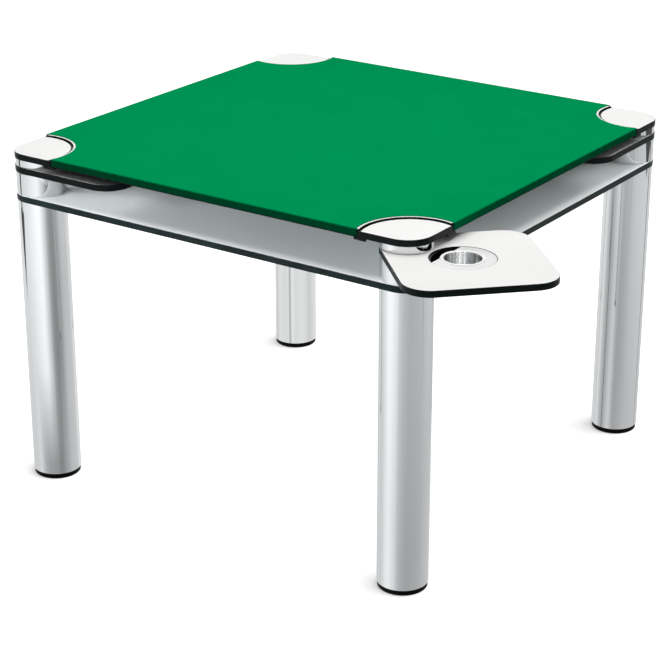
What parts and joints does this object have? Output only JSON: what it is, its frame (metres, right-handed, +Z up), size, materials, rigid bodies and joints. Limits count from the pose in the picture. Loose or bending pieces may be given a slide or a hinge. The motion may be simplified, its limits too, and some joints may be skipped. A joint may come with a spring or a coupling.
{
  "type": "card table",
  "caption": "Square card table on round polished legs, with a green baize playing board between curved corner plates and swivelling corner trays with cup and ash holders.",
  "frame": {"origin": "on the floor under the middle of the playing board, midway between the feet", "axes": "+Z up; +X and -Y are the two sides that the picture shows, with the swung-out tray at the +X -Y corner"},
  "size_m": [1.2317, 1.1059, 0.72],
  "materials": {
    "polished_steel": "mirror polished tube",
    "laminate": "white laminate faces with black edges",
    "board_core": "white-faced board, black curved edges",
    "baize": "napped green wool cloth",
    "black_rail": "satin black",
    "black_foot": "matt black",
    "black_pan": "gloss black enamel",
    "white_lid": "white, satin",
    "cup_steel": "drawn and polished inside",
    "nylon": "natural nylon",
    "zinc_steel": "bright zinc plated"
  },
  "bodies": {
    "stand": {"corner_plate_back_left": "laminate", "corner_plate_back_right": "laminate", "corner_plate_front_left": "laminate", "corner_plate_front_right": "laminate", "foot_back_left": "black_foot", "foot_back_right": "black_foot", "foot_front_left": "black_foot", "foot_front_right": "black_foot", "leg_back_left": "polished_steel", "leg_back_right": "polished_steel", "leg_front_left": "polished_steel", "leg_front_right": "polished_steel", "leg_plugs": "zinc_steel", "lower_collar_back_left": "polished_steel", "lower_collar_back_right": "polished_steel", "lower_collar_front_left": "polished_steel", "lower_collar_front_right": "polished_steel", "lower_panel": "laminate", "pivot_sleeves": "zinc_steel", "plate_nuts": "zinc_steel", "rail_back_left": "black_rail", "rail_back_right": "black_rail", "rail_front_left": "black_rail", "rail_front_right": "black_rail", "rail_screws": "zinc_steel", "tie_rod_back_left": "zinc_steel", "tie_rod_back_right": "zinc_steel", "tie_rod_front_left": "zinc_steel", "tie_rod_front_right": "zinc_steel", "upper_collar_back_left": "polished_steel", "upper_collar_back_right": "polished_steel", "upper_collar_front_left": "polished_steel", "upper_collar_front_right": "polished_steel"},
    "board": {"board_core": "board_core", "baize_cover": "baize"},
    "front_left_tray": {"tray_front_left": "laminate", "tray_bush_front_left": "nylon", "holder_pan_front_left": "black_pan", "holder_lid_front_left": "white_lid", "cup_front_left": "cup_steel"},
    "front_right_tray": {"tray_front_right": "laminate", "tray_bush_front_right": "nylon", "holder_pan_front_right": "black_pan", "holder_lid_front_right": "white_lid", "cup_front_right": "cup_steel"},
    "back_right_tray": {"tray_back_right": "laminate", "tray_bush_back_right": "nylon", "holder_pan_back_right": "black_pan", "holder_lid_back_right": "white_lid", "cup_back_right": "cup_steel"},
    "back_left_tray": {"tray_back_left": "laminate", "tray_bush_back_left": "nylon", "holder_pan_back_left": "black_pan", "holder_lid_back_left": "white_lid", "cup_back_left": "cup_steel"}
  },
  "joints": [
    {"name": "board_lift", "type": "slide", "parent": "stand", "child": "board", "axis": [0, 0, 1], "range_m": [0, 0.12]},
    {"name": "front_left_swivel", "type": "hinge", "parent": "stand", "child": "front_left_tray", "pos_m": [-0.439, -0.439, 0.6815], "axis": [0, 0, 1], "continuous": true},
    {"name": "front_right_swivel", "type": "hinge", "parent": "stand", "child": "front_right_tray", "pos_m": [0.439, -0.439, 0.6815], "axis": [0, 0, 1], "continuous": true},
    {"name": "back_right_swivel", "type": "hinge", "parent": "stand", "child": "back_right_tray", "pos_m": [0.439, 0.439, 0.6815], "axis": [0, 0, 1], "continuous": true},
    {"name": "back_left_swivel", "type": "hinge", "parent": "stand", "child": "back_left_tray", "pos_m": [-0.439, 0.439, 0.6815], "axis": [0, 0, 1], "continuous": true}
  ]
}
